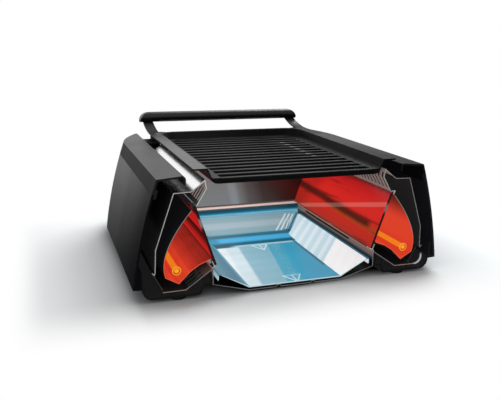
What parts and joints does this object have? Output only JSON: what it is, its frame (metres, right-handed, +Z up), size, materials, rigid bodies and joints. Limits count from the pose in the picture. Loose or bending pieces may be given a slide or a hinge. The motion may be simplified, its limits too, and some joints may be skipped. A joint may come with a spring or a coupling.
{
  "type": "electric indoor grill",
  "caption": "Electric infrared table grill cut across its width, with a ribbed grid and carrying handle above side heaters behind glass and a lift-out drip tray.",
  "frame": {"origin": "centre of the bounding box, at the level of the feet's undersides", "axes": "+X across the grill to the right, +Y from the section plane to the back with the handle, +Z up"},
  "size_m": [0.401, 0.3652, 0.18],
  "materials": {
    "shell_panel": "satin dark charcoal moulding with a soft sheen",
    "shell_cap": "satin charcoal moulding, slightly lighter than the panels",
    "shell_floor": "fine-textured black moulding",
    "shell_rear": "satin dark charcoal moulding",
    "feet": "matt black rubber",
    "seats": "matt black heat-resistant moulding",
    "pan": "satin steel with a warm brown cast from the heat",
    "rear_sheet": "satin steel",
    "jacket": "bright satin steel",
    "end_plates": "matt black painted sheet",
    "reflector": "polished anodised sheet, red in the heaters' light",
    "quartz": "clear quartz lit from inside",
    "element": "glowing resistance element",
    "holder": "unglazed off-white ceramic",
    "pane": "clear heat-resistant glass, red in the heaters' light",
    "clips": "bright spring steel",
    "bush": "matt black rubber",
    "switch_bezel": "gloss black moulding",
    "rocker": "gloss black moulding",
    "lamp": "clear orange lens",
    "terminal": "unglazed cream ceramic",
    "leads": "braided glass-fibre sleeve",
    "tray": "smooth translucent blue",
    "grid": "black non-stick coating on cast aluminium",
    "grip": "satin black moulding",
    "insert": "satin dark grey",
    "screws": "plated steel"
  },
  "bodies": {
    "housing": {"left_side_panel": "shell_panel", "left_top_cap": "shell_cap", "left_floor_shell": "shell_floor", "left_steel_jacket": "jacket", "left_end_plate": "end_plates", "left_reflector": "reflector", "left_quartz_tube": "quartz", "left_heating_element": "element", "left_tube_holder": "holder", "left_glass": "pane", "left_glass_clips": "clips", "right_side_panel": "shell_panel", "right_top_cap": "shell_cap", "right_floor_shell": "shell_floor", "right_steel_jacket": "jacket", "right_end_plate": "end_plates", "right_reflector": "reflector", "right_quartz_tube": "quartz", "right_heating_element": "element", "right_tube_holder": "holder", "right_glass": "pane", "right_glass_clips": "clips", "rear_housing": "shell_rear", "rubber_feet": "feet", "grid_seats": "seats", "base_pan": "pan", "rear_wall": "rear_sheet", "cord_bush": "bush", "switch_frame": "switch_bezel", "pilot_lamp": "lamp", "terminal_block": "terminal", "element_leads": "leads"},
    "grid": {"grill_grid": "grid", "handle_grip": "grip", "handle_insert": "insert", "handle_screws": "screws"},
    "tray": {"drip_tray": "tray"},
    "rocker": {"switch_rocker": "rocker"}
  },
  "joints": [
    {"name": "grid_lift", "type": "slide", "parent": "housing", "child": "grid", "axis": [0, 0, 1], "range_m": [0, 0.2]},
    {"name": "tray_lift", "type": "slide", "parent": "housing", "child": "tray", "axis": [0, 0, 1], "range_m": [0, 0.1]},
    {"name": "switch_rocker", "type": "hinge", "parent": "housing", "child": "rocker", "pos_m": [0.078, 0.16474, 0.062], "axis": [1, 0, 0], "range_deg": [-16, 0]}
  ]
}
